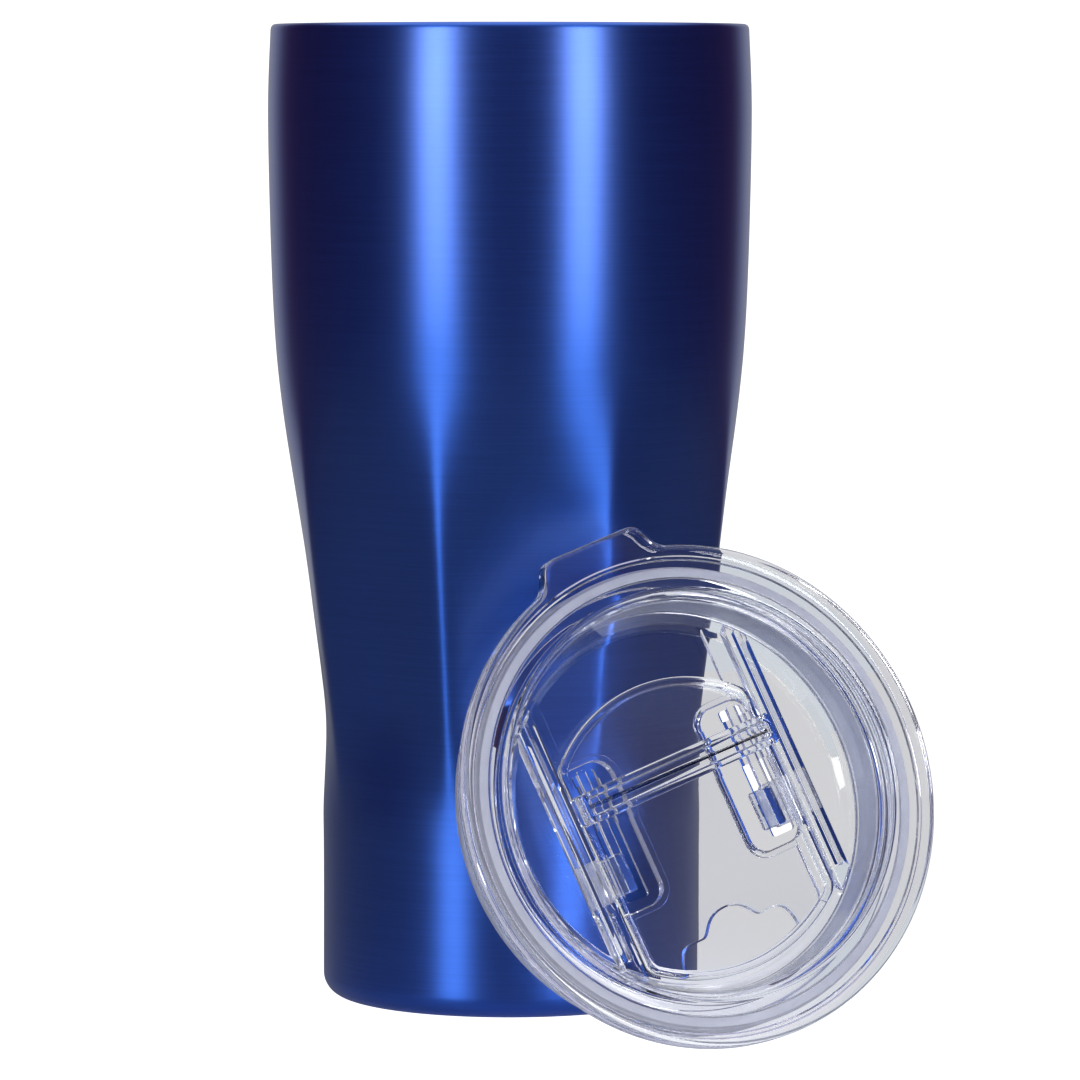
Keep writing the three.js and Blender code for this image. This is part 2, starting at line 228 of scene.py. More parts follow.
def combine(piece, tool, operation):
    """piece joined with, cut by or kept inside a tool, which is used up."""
    step = piece.modifiers.new("combine", "BOOLEAN")
    step.operation = operation
    step.solver = "MANIFOLD"
    step.object = tool
    settle(piece)
    bpy.data.objects.remove(tool)
    return piece


def join(piece, tool):
    return combine(piece, tool, "UNION")


def cut(piece, tool):
    return combine(piece, tool, "DIFFERENCE")


def keep(piece, tool):
    return combine(piece, tool, "INTERSECT")


def smooth(piece, angle=28):
    """Smooth shading up to an edge angle, with flat faces kept flat."""
    piece.data.shade_smooth()
    piece.data.set_sharp_from_angle(angle=math.radians(angle))
    weighted = piece.modifiers.new("weighted", "WEIGHTED_NORMAL")
    weighted.keep_sharp = True
    weighted.weight = 100
    settle(piece)
    return piece


def finish_piece(piece, name, body, nodes, look, place=None):
    """Names a piece, puts it in place, ties it to its body, gives it a material slot with its look, and
    hides the CAD nodes it stands in for.
    """
    piece.name = name
    piece.data.name = name
    piece.data.materials.clear()
    piece.data.materials.append(look)
    if place is not None:
        piece.data.transform(place)
    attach(piece, body)
    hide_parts(*nodes)
    return piece


# ---------------------------------------------------------------- materials
class Look:
    """A material under construction: its node tree, with short ways to add nodes and links."""

    def __init__(self, name, **sockets):
        self.material = bpy.data.materials.new(name)
        self.material.use_nodes = True
        self.nodes = self.material.node_tree.nodes
        self.links = self.material.node_tree.links
        self.shader = self.nodes["Principled BSDF"]
        self.output = self.nodes["Material Output"]
        for socket, value in sockets.items():
            self.shader.inputs[socket.replace("_", " ")].default_value = value

    def node(self, kind, **settings):
        made = self.nodes.new("ShaderNode" + kind)
        for key, value in settings.items():
            setattr(made, key, value)
        return made

    def noise(self, scale, detail=3, stretch=(1, 1, 1)):
        """Noise in the piece's own coordinates, as a value.  A stretch under 1 draws its grains out."""
        place = self.node("TexCoord")
        mapping = self.node("Mapping")
        mapping.inputs["Scale"].default_value = stretch
        texture = self.node("TexNoise")
        texture.inputs["Scale"].default_value = scale
        texture.inputs["Detail"].default_value = detail
        self.links.new(place.outputs["Object"], mapping.inputs["Vector"])
        self.links.new(mapping.outputs["Vector"], texture.inputs["Vector"])
        return texture.outputs["Fac"]

    def ramp(self, value, low, high):
        """value from 0..1 spread between two numbers."""
        made = self.node("MapRange")
        made.inputs["From Min"].default_value = 0.25
        made.inputs["From Max"].default_value = 0.75
        made.inputs["To Min"].default_value = low
        made.inputs["To Max"].default_value = high
        self.links.new(value, made.inputs["Value"])
        return made.outputs["Result"]

    def tint(self, value, dark, light):
        """A colour between two, by value."""
        made = self.node("ValToRGB")
        ramp = made.color_ramp
        ramp.elements[0].position = 0.3
        ramp.elements[1].position = 0.7
        ramp.elements[0].color = (*dark, 1)
        ramp.elements[1].color = (*light, 1)
        self.links.new(value, made.inputs["Fac"])
        return made.outputs["Color"]

    def feed(self, value, socket):
        self.links.new(value, self.shader.inputs[socket])

    def bump(self, value, depth):
        """Relief of that depth in metres."""
        made = self.node("Bump")
        made.inputs["Distance"].default_value = depth
        made.inputs["Strength"].default_value = 1
        self.links.new(value, made.inputs["Height"])
        self.links.new(made.outputs["Normal"], self.shader.inputs["Normal"])

    def maths(self, operation, one, two):
        """Arithmetic on two values, each a node's output or a number."""
        made = self.node("Math", operation=operation)
        for socket, value in zip(made.inputs, (one, two)):
            if isinstance(value, (int, float)):
                socket.default_value = value
            else:
                self.links.new(value, socket)
        return made.outputs["Value"]

    def absorb(self, colour, density):
        """Colours light on its way through."""
        made = self.node("VolumeAbsorption")
        made.inputs["Color"].default_value = (*colour, 1)
        made.inputs["Density"].default_value = density
        self.links.new(made.outputs["Volume"], self.output.inputs["Volume"])

    def lets_lamps_through(self, tint):
        """Shadows of clear pieces are as light as their plastic."""
        path = self.node("LightPath")
        clear = self.node("BsdfTransparent")
        clear.inputs["Color"].default_value = (*tint, 1)
        either = self.node("MixShader")
        self.links.new(path.outputs["Is Shadow Ray"], either.inputs["Fac"])
        self.links.new(self.shader.outputs["BSDF"], either.inputs[1])
        self.links.new(clear.outputs["BSDF"], either.inputs[2])
        self.links.new(either.outputs["Shader"], self.output.inputs["Surface"])

    def around_axis(self):
        """Lays the shader's grain round the piece's Z axis."""
        made = self.node("Tangent", direction_type="RADIAL", axis="Z")
        self.links.new(made.outputs["Tangent"], self.shader.inputs["Tangent"])


GRAIN = (0.02, 0.02, 1)      # brushed round the axis: long in X and Y, fine in Z


def blue_lacquer():
    """Translucent blue lacquer over steel that is brushed round the axis."""
    look = Look(
        "blue_lacquer", Metallic=1.0, Anisotropic=0.72, Anisotropic_Rotation=0.25,
        Coat_Weight=1.0, Coat_Roughness=0.26, Coat_IOR=1.5,
    )
    look.around_axis()
    grain = look.noise(2600, 4, GRAIN)
    look.feed(look.tint(grain, (0.042, 0.148, 0.60), (0.050, 0.166, 0.66)), "Base Color")
    look.feed(look.ramp(grain, 0.36, 0.40), "Roughness")
    look.bump(grain, 0.000002)
    return look.material


def brushed_steel(name, tone, roughness=0.3):
    """Steel brushed round the axis, as pale as tone says."""
    look = Look(name, Metallic=1.0, Anisotropic=0.7, Anisotropic_Rotation=0.25)
    look.around_axis()
    grain = look.noise(2200, 4, GRAIN)
    look.feed(look.tint(grain, (tone * 0.92,) * 3, (tone, tone, tone * 0.99)), "Base Color")
    look.feed(look.ramp(grain, roughness - 0.06, roughness + 0.08), "Roughness")
    look.bump(grain, 0.000005)
    return look.material


def copper_foil():
    """Bright copper, finely crinkled."""
    look = Look("copper_foil", Metallic=1.0)
    crinkle = look.noise(220, 5)
    look.feed(look.tint(crinkle, (0.70, 0.33, 0.20), (0.86, 0.46, 0.30)), "Base Color")
    look.feed(look.ramp(crinkle, 0.16, 0.30), "Roughness")
    look.bump(crinkle, 0.0002)
    return look.material


def cast_metal(name, dark, light, roughness, depth):
    """A dull metal with a grain of that depth in metres."""
    look = Look(name, Metallic=0.9)
    grain = look.noise(1800, 6)
    look.feed(look.tint(grain, dark, light), "Base Color")
    look.feed(look.ramp(grain, roughness - 0.1, roughness + 0.1), "Roughness")
    look.bump(grain, depth)
    return look.material


def clear_plastic():
    """Polished clear moulding with a faint cool tint and the slight waviness of a moulded surface."""
    look = Look("clear_plastic", Transmission_Weight=1.0, IOR=1.54, Base_Color=(0.985, 0.99, 1, 1))
    wave = look.noise(90, 2)
    haze = look.noise(900, 3)
    look.feed(look.ramp(haze, 0.0, 0.03), "Roughness")
    look.bump(wave, 0.00001)
    look.absorb((0.80, 0.86, 1.0), 12)
    look.lets_lamps_through((0.85, 0.85, 0.88))
    return look.material


def silicone(name, milk):
    """Milky translucent silicone with a fine matt surface."""
    look = Look(name, Transmission_Weight=milk, IOR=1.41)
    grain = look.noise(1500, 4)
    cloud = look.noise(60, 2)
    look.feed(look.tint(cloud, (0.86, 0.88, 0.95), (0.92, 0.94, 1.0)), "Base Color")
    look.feed(look.ramp(grain, 0.38, 0.5), "Roughness")
    look.bump(grain, 0.00001)
    return look.material


# ---------------------------------------------------------------- tumbler
HEIGHT = 177          # rim above the ground
HEM = 1               # rolled edge at the rim
SHEET = 0.6           # outer body wall
LINER = 0.5           # inner cup wall
GAP = 0.35            # clearance between neighbouring pieces
BASE_R = 34.2         # body radius just above the base corner
CORNER_R = 4          # outside radius of the base corner
PANELS = 8            # flat grip panels round the waist
FIRST_RIDGE = math.radians(26.5)     # from straight ahead, -Y, to the right
PANEL_TOP = (72, 118)                # heights over which the panels fade out
PANEL_BOTTOM = (32, 56)              # heights over which they fade in
PANEL_DEPTH = 0.85    # 1 would be flat from ridge to ridge
RIDGE_SOFTNESS = 0.1  # a ridge's rounding, as a share of half a panel
RIM_R = 43.4          # body radius at the foot of the hem
RIDGE_LINE = [        # radius and height up a ridge
    (BASE_R, CORNER_R), (BASE_R, 32), (34.9, 45), (36.4, 58), (38.3, 72), (40, 86),
    (41.15, 99), (42.1, 112), (43, 125), (43.6, 142), (43.9, 162), (RIM_R, HEIGHT - HEM),
]
LINER_FLOOR = 9.5     # top of the cup's floor
LINER_CORNER = 7.5    # inside radius of its corner
LINER_LINE = [        # radius and height up the cup's inside
    (30.2, 17), (30.3, 47), (31.2, 60), (32.9, 78), (34.4, 90), (37.4, 106),
    (39.5, 122), (40.3, 145), (40.5, 160),
]
MOUTH = [(41.15, 162), (41.3, 175.85)]               # the wider mouth that takes the lid


def smoothstep(value, start, end):
    """From 0 to 1, softly, as value goes from start to end."""
    t = min(max((value - start) / (end - start), 0), 1)
    return t * t * (3 - 2 * t)


def panel_factor(angle, z):
    """Share of a ridge's radius that the body has at an angle and height."""
    half = math.pi / PANELS
    turned = (angle - FIRST_RIDGE) % (2 * half)
    from_ridge = 1 - abs(turned - half) / half
    soft = math.hypot(from_ridge, RIDGE_SOFTNESS) - RIDGE_SOFTNESS
    flat = math.cos(half) / math.cos(half * (1 - soft))
    pressed = PANEL_DEPTH * smoothstep(z, *PANEL_BOTTOM) * (1 - smoothstep(z, *PANEL_TOP))
    return 1 - pressed * (1 - flat)


def body_lacquered():
    """The outer body: base corner, waist pressed to flat panels, rim rolled in over the top."""
    wall = spline(RIDGE_LINE, 12)
    corner = (BASE_R - CORNER_R, CORNER_R)
    foot = BASE_R - CORNER_R - 0.3
    hem = (RIM_R - HEM, HEIGHT - HEM)
    profile = [
        (foot, 0), *arc(corner, CORNER_R, -90, -6, 14), *wall,
        *arc(hem, HEM, 25, 90, 8), (41.75, HEIGHT), (41.75, hem[1] + 0.2), (hem[0], hem[1] + 0.2),
        *[(r - SHEET, z) for r, z in reversed(wall[:-4:3])],
        *arc(corner, CORNER_R - SHEET, -6, -90, 8), (foot, SHEET),
    ]
    sides = 2 * ROUND
    turns = [2 * math.pi * i / sides for i in range(sides)]
    rings = []
    for r, z in profile:
        radii = [r * panel_factor(a, z) for a in turns]
        rings.append([(q * math.sin(a), -q * math.cos(a), z) for q, a in zip(radii, turns)])
    return smooth(skin("body", rings, closed=True))


def cup_steel():
    """The steel cup inside."""
    centre = (LINER_LINE[0][0] - LINER_CORNER, LINER_FLOOR + LINER_CORNER)
    wall = [*spline(LINER_LINE, 6), *MOUTH]
    inside = [*arc(centre, LINER_CORNER, -90, -6, 14), *wall]
    outside = [*arc(centre, LINER_CORNER + LINER, -90, -6, 14), *[(r + LINER, z) for r, z in wall]]
    profile = [(0, LINER_FLOOR), *inside, *reversed(outside), (0, LINER_FLOOR - LINER)]
    return smooth(lathe("cup", profile))


def sleeve_foil():
    """The reflecting sleeve round the cup."""
    stand, thickness = LINER + GAP, 0.3
    wall = spline(LINER_LINE, 4)[:-5]
    profile = [(r + stand + thickness, z) for r, z in wall] + [(r + stand, z) for r, z in reversed(wall)]
    return smooth(lathe("sleeve", profile, 128))


def bottom_plate():
    """The disc that closes the vacuum space: its edge turned down, the pump-out hole in its middle."""
    edge = 33.05
    profile = [
        (0.8, 5.1), (3.2, 5.1), (4, 5.6), (edge - 0.8, 5.6), (edge - 0.8, 4.6), (edge, 4.6),
        (edge, 6.4), (3.6, 6.4), (2.8, 5.9), (0.8, 5.9),
    ]
    return smooth(lathe("plate", eased(profile, 0.15), 128))


def seal_bead():
    """The bead of sealing metal under the pump-out hole."""
    profile = [(0, 3.6), (1.4, 3.7), (2.2, 4.2), (2.2, 4.75), (0, 4.75)]
    return smooth(lathe("bead", eased(profile, 0.25, ends=True), 64), 60)


def getter_pill():
    """The pill that takes up stray gas."""
    profile = [(0, 6.75), (4, 6.75), (4, 8.3), (0, 8.3)]
    return smooth(lathe("pill", eased(profile, 0.4, ends=True), 64))


def base_cover():
    """The cover that the tumbler stands on, with a shallow dished middle."""
    edge, dish = 29.5, 24
    profile = [
        (0, 0.25), (dish, 0.25), (dish + 0.6, 0), (edge, 0), (edge, 3), (edge - 0.8, 3), (edge - 0.8, 0.9),
        (0, 0.9),
    ]
    return smooth(lathe("cover", eased(profile, 0.3, ends=True)))


# ---------------------------------------------------------------- lid
LID_R = 44.3          # flange
FLANGE = 4            # its thickness
PLUG_R = 38.5         # plug wall outside, where the seal sits
PLUG_DEPTH = 15.6     # plug wall's lower end below the flange's top
GASKET_R = 41         # the seal outside
FLOOR_TOP = -11.3     # floor of the well, from the flange's top
FLOOR_BOTTOM = -13.1
WELL_TOP_R = 36.2     # the well at the flange
WELL_FOOT_R = 31.9    # the well just above its floor
RAIL_IN, RAIL_OUT, RAIL_TOP = 20.3, 23.8, -7.8                 # guide rails beside the slider
LEDGE_IN, LEDGE_TOP = 17.2, -10.3                              # ledges that the slider runs on
WINDOW_X, WINDOW_Y, WINDOW_R = (9.4, 20), (-14, 13), 3         # windows for the hooks
SLIDER_HALF = 19.9    # half the slider's width
PLATE_TOP, PLATE_BOTTOM = -8.2, -9.95                          # its plate
CLOSED_END_R, NOSE_R, NOSE_CENTRE = 31.5, 28, -6.1             # its lower end and its round upper end
BAR_HALF, BAR_Y, BAR_TOP, BAR_WALL = 20, (2.8, 8.5), -4.2, 1.3      # its thumb bar
ARM_X, HOOK_Y, HOOK_LOW = (14.8, 16.6), (-10.6, -3.4), -16     # its spring arms and their hooks
SLOT_X, SLOT_Y = (13.2, 17.6), (-12.2, 11.8)                   # the slots round the arms
PEG_END, PEG_Y, PEG_Z = 20.4, (-8.2, -5.8), (-15, -14.2)       # the hooks' pegs
PAD_END, PAD_Y, PAD_Z = 22.4, (-11, -2.9), (-15.7, -13.5)      # the soft pads on the pegs


def mirrored(pair, side):
    """A range on the right, or its mirror image on the left."""
    return pair if side > 0 else (-pair[1], -pair[0])


def lid_place():
    """The lid's own frame, from the joints' axes and the CAD shell's extent along them."""
    axes = {j["name"]: Vector(j["axis"]).normalized() for j in frame["record"]["behaviour"]["joints"]}
    out, along = axes["lid_lift_off"], axes["slider_open"]
    across = along.cross(out)
    points = [v.co for v in frame["nodes"]["lid_shell"].data.vertices]
    reach = [p.dot(across) for p in points]
    centre = across * (max(reach) + min(reach)) / 2
    centre += along * (min(p.dot(along) for p in points) + LID_R * MM)
    centre += out * max(p.dot(out) for p in points)
    turn = Matrix((across, along, out)).transposed().to_4x4()
    return Matrix.Translation(centre) @ turn


def flange_outline():
    """The flange's edge, anticlockwise from the tab's left foot, round and over the tab."""
    foot = (13.4, 42)
    start = math.degrees(math.atan2(foot[1], -foot[0]))
    edge = arc((0, 0), LID_R, start, 360 + 180 - start, 440)
    left, right = edge[0], edge[-1]
    tab = bezier(right, (11.6, 42.9), (11.1, 44.1), (10.4, 45.7))
    tab += bezier(tab[-1], (9.8, 47.1), (8.9, 47.8), (7, 47.8))
    tab += [(7 - i * 1.4, 47.8) for i in range(1, 11)]
    tab += bezier(tab[-1], (-8.9, 47.8), (-9.8, 47.1), (-10.4, 45.7))
    tab += bezier(tab[-1], (-11.1, 44.1), (-11.6, 42.9), left)
    return [*edge, *tab[:-1]]


def lid_body():
    """Flange with tab, plug wall and well, as one skin from the underside of the floor round to its top."""
    outline = flange_outline()
    angles = [math.atan2(y, x) for x, y in outline]

    def circle(r, z):
        return [(r * math.cos(a), r * math.sin(a), z) for a in angles]

    def rim(depth, z):
        return [(x, y, z) for x, y in inset(outline, depth)]

    lower = eased(
        [(0, FLOOR_BOTTOM), (31.2, FLOOR_BOTTOM), (33.3, -11.7), (36.2, -5.4), (36.8, -5.4),
         (36.8, -PLUG_DEPTH), (PLUG_R, -PLUG_DEPTH), (PLUG_R, -FLANGE), (LID_R, -FLANGE)],
        [0, 0.8, 1, 0.25, 0.25, 0.3, 0.5, 0.4, 0], ends=True,
    )[1:-1]
    upper = eased(
        [(38, 0), (WELL_TOP_R, 0), (35.4, -1.9), (34.9, -2.1), (WELL_FOOT_R, -10.1), (30.7, FLOOR_TOP),
         (0, FLOOR_TOP)],
        [0, 0.9, 0.2, 0.2, 0.6, 0.5, 0], ends=True,
    )[:-1]
    rings = [circle(r, z) for r, z in lower]
    groove_top = -FLANGE + 0.35
    groove = [(40.5, -FLANGE), (41.7, -FLANGE), (42, groove_top), (42.4, groove_top), (42.7, -FLANGE)]
    rings += [circle(r, z) for r, z in groove]
    low_edge, top_edge = 0.8, 1
    for a in steps_of(90, 6):
        rings.append(rim(low_edge * (1 - math.sin(a)), -FLANGE + low_edge * (1 - math.cos(a))))
    for a in steps_of(90, 8):
        rings.append(rim(top_edge * (1 - math.cos(a)), top_edge * (math.sin(a) - 1)))
    rings += [circle(r, z) for r, z in upper]
    return skin("lid", rings)


def drink_outline():
    """The drinking hole: a round lobe on a wider base that follows the well's foot."""
    side = math.degrees(math.atan2(-27.8, 11.8))
    foot = arc((0, 0), 30.2, -180 - side, side, 24)
    right = [
        (11.6, -26.4),
        *bezier((11.6, -26.4), (11, -24.2), (10.4, -23.4), (9, -23.4)),
        (7.7, -23.4),
        (6.4, -23.4),
        *bezier((6.4, -23.4), (4.4, -23.4), (4.6, -19.8), (0, -19.8)),
    ]
    left = [(-x, y) for x, y in reversed(right[:-1])]
    return [*foot, *right, *left]


def lid_clear():
    """The clear lid: its body, the rails and ledges in the well, beads round two windows, and its holes."""
    body = lid_body()
    # the rails and ledges run into the well's wall, and what would stand out behind it is trimmed off
    within = [(0, -12.4), (31.6, -12.4), (33, -10.6), (36.2, -4), (0, -4)]
    buried, bead_width = FLOOR_TOP - 0.5, 1.2
    for side in (-1, 1):
        window_x = mirrored(WINDOW_X, side)
        rail = block(mirrored((RAIL_IN, RAIL_OUT), side), (-27.5, 27.5), (buried, RAIL_TOP), 0.35)
        groove = rounded_rect(mirrored((21.7, 22.9), side), (-21.5, 24), 0.59)
        rail = cut(rail, slab("groove", groove, RAIL_TOP - 2, RAIL_TOP + 1, 0.1))
        ledge = block(mirrored((LEDGE_IN, RAIL_IN + 0.5), side), (-28, 28), (buried, LEDGE_TOP), 0.3)
        outer = rounded_rect(
            (window_x[0] - bead_width, window_x[1] + bead_width),
            (WINDOW_Y[0] - bead_width, WINDOW_Y[1] + bead_width), WINDOW_R + bead_width,
        )
        bead = slab("bead", outer, buried, FLOOR_TOP + 0.6, 0.35)
        added = keep(join(join(rail, ledge), bead), lathe("within", within))
        body = join(body, added)
        hole = cutter(rounded_rect(window_x, WINDOW_Y, WINDOW_R), FLOOR_BOTTOM, LEDGE_TOP, 0.25)
        body = cut(body, hole)
    body = cut(body, cutter(drink_outline(), FLOOR_BOTTOM, FLOOR_TOP, 0.3))
    return smooth(body)


def lid_seal():
    """The silicone sleeve on the plug, with three low sealing ribs and a soft lead-in at its lower end."""
    inner, top, low = PLUG_R + GAP, -FLANGE - GAP, GASKET_R - 0.45
    ribs = []
    for middle in (-6, -9.5, -13):
        ribs += [(low, middle + 1), *arc((GASKET_R - 0.6, middle), 0.6, 60, -60, 6), (low, middle - 1)]
    profile = [(inner, top), (low, top), *ribs, (40.2, -16), (39.4, -16.1), (inner, -PLUG_DEPTH)]
    rounding = [0.2, 0.3, *[0.15] * len(ribs), 0.4, 0.3, 0.2]
    return smooth(lathe("seal", eased(profile, rounding, 2)), 40)


def slider_outline(margin):
    """The slider's plan: a round upper end, straight sides and a lower end that follows the well."""
    half, end, nose, corner = SLIDER_HALF - margin, CLOSED_END_R - margin, NOSE_R - margin, 3
    end_angle = math.degrees(math.acos((half - corner) / (end - corner)))
    nose_angle = math.degrees(math.acos((half - corner) / (nose - corner)))
    end_y = -(end - corner) * math.sin(math.radians(end_angle))
    nose_y = NOSE_CENTRE + (nose - corner) * math.sin(math.radians(nose_angle))
    return [
        *arc((0, 0), end, 180 + end_angle, 360 - end_angle, 40),
        *arc((half - corner, end_y), corner, -end_angle, 0, 8),
        *arc((half - corner, nose_y), corner, 0, nose_angle, 8),
        *arc((0, NOSE_CENTRE), nose, nose_angle, 180 - nose_angle, 40),
        *arc((corner - half, nose_y), corner, 180 - nose_angle, 180, 8),
        *arc((corner - half, end_y), corner, 180, 180 + end_angle, 8),
    ]


def slider_clear():
    """The slider: a plate with a raised border, a thumb bar, and spring arms with hooks and pegs."""
    border, recess = 1.4, 0.9
    body = slab("slider", slider_outline(0), PLATE_BOTTOM, PLATE_TOP, 0.6, 5)
    hollow = trough(slider_outline(border), PLATE_TOP - recess, PLATE_TOP, 0.45)
    kept = block((-21, 21), (BAR_Y[0] - border, BAR_Y[1] + border), (PLATE_TOP - 2, PLATE_TOP + 2), 0.2)
    body = cut(body, cut(hollow, kept))
    bar = block((-BAR_HALF, BAR_HALF), BAR_Y, (PLATE_TOP - 0.8, BAR_TOP), 0.6)
    channel_x = (BAR_WALL - BAR_HALF, BAR_HALF - BAR_WALL)
    channel = rounded_rect(channel_x, (BAR_Y[0] + BAR_WALL, BAR_Y[1] - BAR_WALL), 1)
    body = cut(join(body, bar), trough(channel, BAR_TOP - 2.6, BAR_TOP, 0.65))
    middle = sum(BAR_Y) / 2
    rib_x = (channel_x[0] - 0.2, channel_x[1] + 0.2)
    rib = block(rib_x, (middle - 0.45, middle + 0.45), (BAR_TOP - 3, BAR_TOP - 1.2), 0.3)
    body = join(body, rib)
    for side in (-1, 1):
        slot = block(mirrored(SLOT_X, side), SLOT_Y, (PLATE_BOTTOM - 1, PLATE_TOP - 0.1), 0.3)
        arm_y = (HOOK_Y[0], SLOT_Y[1] + 0.6)
        arm = block(mirrored(ARM_X, side), arm_y, (PLATE_BOTTOM, PLATE_TOP - 0.6), 0.2)
        leg = block(mirrored(ARM_X, side), HOOK_Y, (HOOK_LOW, PLATE_BOTTOM + 0.6), 0.3)
        peg = block(mirrored((ARM_X[1] - 0.6, PEG_END), side), PEG_Y, PEG_Z, 0.15)
        body = join(join(join(cut(body, slot), arm), leg), peg)
    return smooth(body)


def slider_pad(side):
    """A soft pad on a hook's peg, under the lid's floor."""
    pad = block(mirrored((ARM_X[1] + GAP, PAD_END), side), PAD_Y, PAD_Z, 0.5)
    hole = block(
        mirrored((ARM_X[1], PEG_END + GAP), side),
        (PEG_Y[0] - GAP, PEG_Y[1] + GAP),
        (PEG_Z[0] - GAP, PEG_Z[1] + GAP), 0.1,
    )
    return smooth(cut(pad, hole))


# ---------------------------------------------------------------- studio
def camera():
    """At the height of the rim, looking slightly down, from a long way off."""
    data = bpy.data.cameras.new("camera")
    data.sensor_width = 36
    data.lens = 198.7
    seen = bpy.data.objects.new("camera", data)
    pitch, yaw = math.radians(4.366), math.radians(0.288)
    ahead = Vector((math.sin(yaw) * math.cos(pitch), math.cos(yaw) * math.cos(pitch), -math.sin(pitch)))
    seen.location = (0, -1.085, 0.166)
    seen.rotation_euler = ahead.to_track_quat("-Z", "Y").to_euler()
    bpy.context.scene.collection.objects.link(seen)
    bpy.context.scene.camera = seen


def softbox(name, azimuth, elevation=7, distance=1.5, size=(0.42, 0.52), power=4.5):
    """A rectangular light that faces the tumbler's middle.  Azimuth 0 is the camera's side."""
    data = bpy.data.lights.new(name, "AREA")
    data.shape = "RECTANGLE"
    data.size, data.size_y = size
    data.energy = power
    lamp = bpy.data.objects.new(name, data)
    a, e = math.radians(azimuth), math.radians(elevation)
    towards = Vector((math.sin(a) * math.cos(e), -math.cos(a) * math.cos(e), math.sin(e)))
    middle = Vector((0, 0, 0.09))
    lamp.location = middle + towards * distance
    lamp.rotation_euler = (-towards).to_track_quat("-Z", "Y").to_euler()
    lamp.visible_camera = False
    bpy.context.scene.collection.objects.link(lamp)


def surroundings():
    """White in the picture.  Reflections find a room that is dark violet in front, grey beyond and white
    above.  Through clear pieces it is pale, except on the camera's side.  Other light finds the front
    almost black."""
    world = bpy.data.worlds.new("studio")
    bpy.context.scene.world = world
    world.use_nodes = True
    nodes, links = world.node_tree.nodes, world.node_tree.links
    nodes.clear()
    place = nodes.new("ShaderNodeTexCoord")
    split = nodes.new("ShaderNodeSeparateXYZ")
    links.new(place.outputs["Generated"], split.inputs["Vector"])
    path = nodes.new("ShaderNodeLightPath")

    def turned(axis, start, end):
        """From 0 to 1 as a direction turns along an axis."""
        made = nodes.new("ShaderNodeMapRange")
        made.interpolation_type = "SMOOTHSTEP"
        made.inputs["From Min"].default_value = start
        made.inputs["From Max"].default_value = end
        links.new(split.outputs[axis], made.inputs["Value"])
        return made.outputs["Result"]

    def blend(share, dark, light):
        made = nodes.new("ShaderNodeMix")
        made.data_type = "RGBA"
        for socket, value in (("Factor", share), ("A", dark), ("B", light)):
            if isinstance(value, tuple):
                made.inputs[socket].default_value = (*value, 1)
            else:
                links.new(value, made.inputs[socket])
        return made.outputs["Result"]

    beyond = turned("Y", 0.7, 0.9)
    above = blend(turned("Z", 0.55, 0.8), (0.085, 0.034, 0.066), (1.0, 1.0, 1.02))
    front = blend(path.outputs["Is Glossy Ray"], (0.008, 0.010, 0.014), above)
    reflected = blend(beyond, front, (0.34, 0.34, 0.36))
    beside = blend(turned("Y", -0.8, -0.5), (0.06, 0.06, 0.09), (0.46, 0.46, 0.58))
    through = blend(beyond, beside, (0.56, 0.59, 0.62))
    room = blend(path.outputs["Is Transmission Ray"], reflected, through)
    lit = nodes.new("ShaderNodeBackground")
    links.new(room, lit.inputs["Color"])
    white = nodes.new("ShaderNodeBackground")
    white.inputs["Color"].default_value = (1, 1, 1, 1)
    either = nodes.new("ShaderNodeMixShader")
    links.new(path.outputs["Is Camera Ray"], either.inputs["Fac"])
    links.new(lit.outputs["Background"], either.inputs[1])
    links.new(white.outputs["Background"], either.inputs[2])
    output = nodes.new("ShaderNodeOutputWorld")
    links.new(either.outputs["Shader"], output.inputs["Surface"])


def floor(radius=0.6, sides=64):
    """A plain pale table, bright enough in the picture to run into the white round it."""
    mesh = bpy.data.meshes.new("floor")
    edge = [(radius * math.cos(a), radius * math.sin(a), 0) for a in steps_of(360, sides)[:-1]]
    mesh.from_pydata(edge, [], [tuple(range(sides))])
    ground = bpy.data.objects.new("floor", mesh)
    bpy.context.scene.collection.objects.link(ground)
    look = Look("pale_floor", Base_Color=(0.8, 0.8, 0.8, 1), Roughness=0.9)
    look.shader.inputs["Specular IOR Level"].default_value = 0
    look.shader.inputs["Emission Color"].default_value = (1, 1, 1, 1)
    path = look.node("LightPath")
    dim, in_picture, through_clear = 0.1, 0.92, 0.44
    seen = look.node("MapRange")
    seen.inputs["To Min"].default_value = dim
    seen.inputs["To Max"].default_value = in_picture
    look.links.new(path.outputs["Is Camera Ray"], seen.inputs["Value"])
    # light that goes through the lid, off the tumbler and through the lid again finds the floor dim
    unreflected = look.maths("LESS_THAN", path.outputs["Glossy Depth"], 0.5)
    few_walls = look.maths("LESS_THAN", path.outputs["Transmission Depth"], 3.5)
    direct = look.maths("MAXIMUM", unreflected, few_walls)
    through = look.maths("MULTIPLY", path.outputs["Is Transmission Ray"], direct)
    pale = look.maths("MULTIPLY", through, through_clear)
    look.feed(look.maths("ADD", seen.outputs["Result"], pale), "Emission Strength")
    mesh.materials.append(look.material)


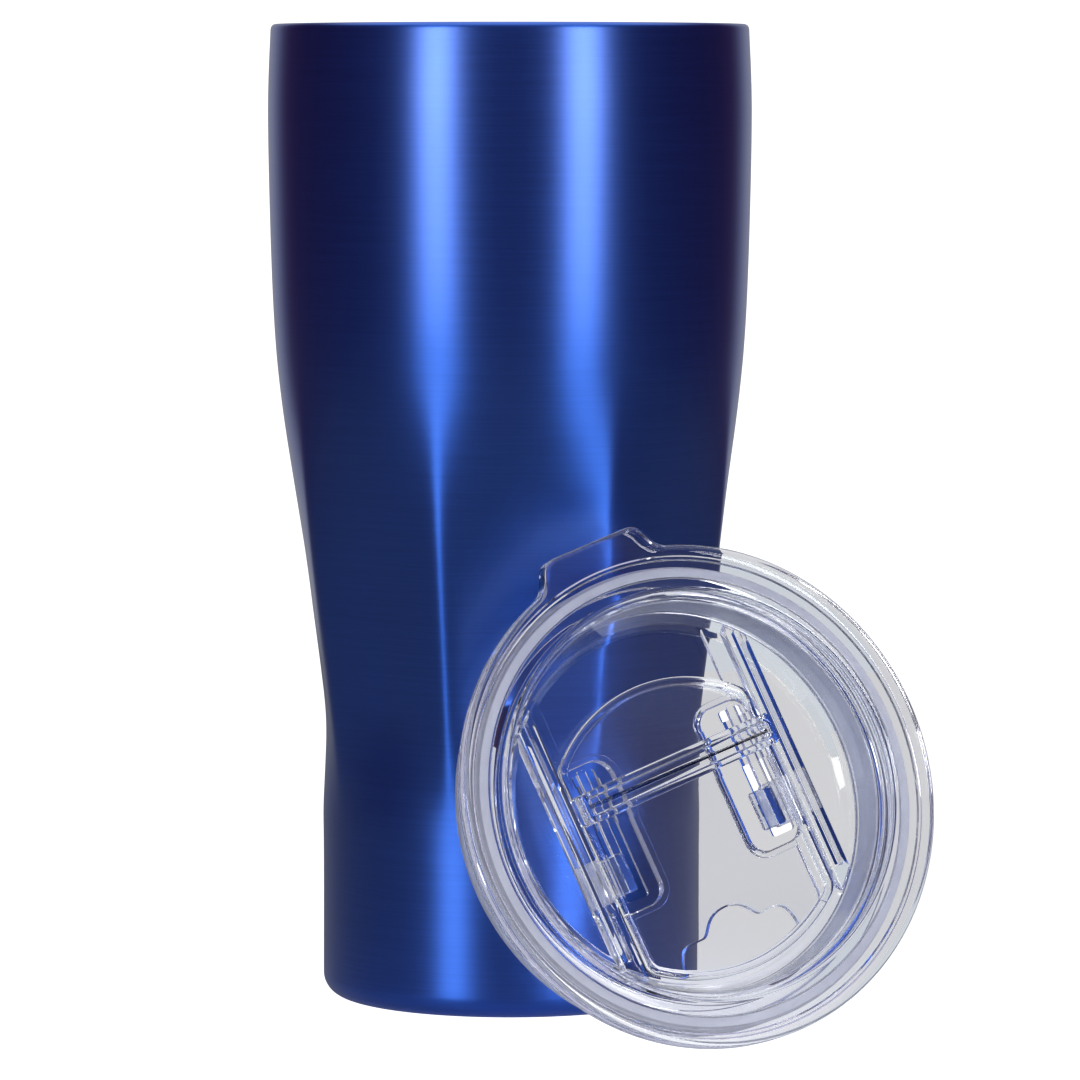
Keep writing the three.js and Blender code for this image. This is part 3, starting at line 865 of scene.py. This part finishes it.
def studio():
    camera()
    surroundings()
    floor()
    for name, azimuth in (("strip_left", -34.5), ("strip_right", 34.5)):
        softbox(name, azimuth)
    scene = bpy.context.scene
    scene.view_settings.view_transform = "Standard"
    scene.view_settings.look = "Medium High Contrast"
    bounces = 32         # light turns many times inside the clear lid
    scene.cycles.max_bounces = bounces
    scene.cycles.transmission_bounces = bounces
    scene.cycles.glossy_bounces = bounces


# ---------------------------------------------------------------- the object
def build():
    steel = brushed_steel("bare_steel", 0.74)
    hidden_steel = brushed_steel("plate_steel", 0.5, 0.4)
    clear = clear_plastic()
    pads = silicone("pad_silicone", 0.6)
    place = lid_place()
    blue = blue_lacquer()
    finish_piece(body_lacquered(), "body_lacquered", "tumbler", ["outer_shell"], blue)
    finish_piece(cup_steel(), "cup_steel", "tumbler", ["inner_liner"], steel)
    finish_piece(sleeve_foil(), "sleeve_foil", "tumbler", ["radiation_foil"], copper_foil())
    finish_piece(bottom_plate(), "plate_bottom", "tumbler", ["bottom_plate"], hidden_steel)
    solder = cast_metal("solder", (0.42, 0.44, 0.46), (0.55, 0.57, 0.6), 0.4, 0.00003)
    finish_piece(seal_bead(), "bead_seal", "tumbler", ["seal_bead"], solder)
    sintered = cast_metal("getter_metal", (0.25, 0.25, 0.26), (0.4, 0.4, 0.41), 0.6, 0.00005)
    low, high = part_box("getter")
    beside = Matrix.Translation(((low.x + high.x) / 2, (low.y + high.y) / 2, 0))
    finish_piece(getter_pill(), "pill_getter", "tumbler", ["getter"], sintered, beside)
    finish_piece(base_cover(), "cover_base", "tumbler", ["base_cover"], steel)
    finish_piece(lid_clear(), "lid_clear", "lid", ["lid_shell"], clear, place)
    seal = silicone("seal_silicone", 0.5)
    finish_piece(lid_seal(), "lid_seal", "lid", ["lid_gasket"], seal, place)
    finish_piece(slider_clear(), "slider_clear", "slider", ["slider"], clear, place)
    for side, name in ((-1, "left"), (1, "right")):
        foot = f"slider_foot_{name}"
        finish_piece(slider_pad(side), f"pad_{name}", "slider", [foot], pads, place)


studio()
build()
